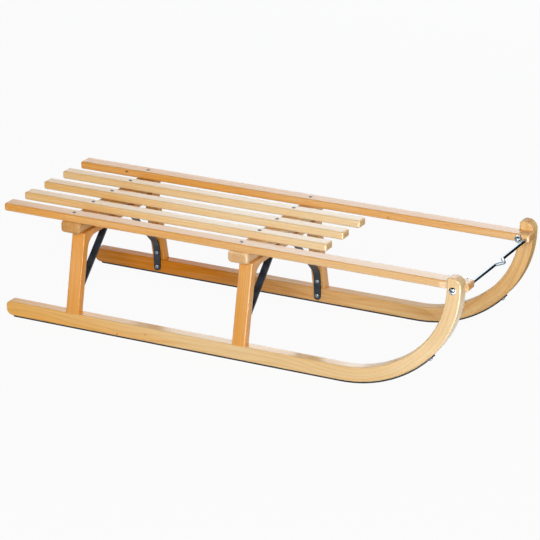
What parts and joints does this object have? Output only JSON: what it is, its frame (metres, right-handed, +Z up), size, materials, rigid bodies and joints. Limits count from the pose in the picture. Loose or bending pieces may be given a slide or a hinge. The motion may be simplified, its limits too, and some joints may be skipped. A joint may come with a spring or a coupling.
{
  "type": "wooden sled",
  "caption": "Slatted wooden sled with bent runners on steel rails, bent-wood arches, black steel struts and a kinked tow rod between the curled fronts.",
  "frame": {"origin": "on the floor under the middle of the sled's box", "axes": "+X forward to the curled runner tips, +Y to the sled's left, +Z up"},
  "size_m": [1.0044, 0.3744, 0.246],
  "materials": {
    "honey_wood": "clear gloss varnish",
    "pale_wood": "clear gloss varnish",
    "black_steel": "semi-gloss black",
    "rail_steel": "dark rolled steel",
    "bright_steel": "bright zinc"
  },
  "bodies": {
    "root": {"tow_rod": "bright_steel", "runner_right": "honey_wood", "rail_right": "rail_steel", "side_slat_right": "honey_wood", "tip_bolt_right": "bright_steel", "cap_nut_right": "bright_steel", "strut_rear_right": "black_steel", "strut_front_right": "black_steel", "runner_left": "honey_wood", "rail_left": "rail_steel", "side_slat_left": "honey_wood", "tip_bolt_left": "bright_steel", "cap_nut_left": "bright_steel", "strut_rear_left": "black_steel", "strut_front_left": "black_steel", "crossbeam_rear": "honey_wood", "arch_rear": "honey_wood", "crossbeam_front": "honey_wood", "arch_front": "honey_wood", "inner_slat_right": "pale_wood", "inner_slat_centre": "pale_wood", "inner_slat_left": "pale_wood"}
  },
  "joints": []
}
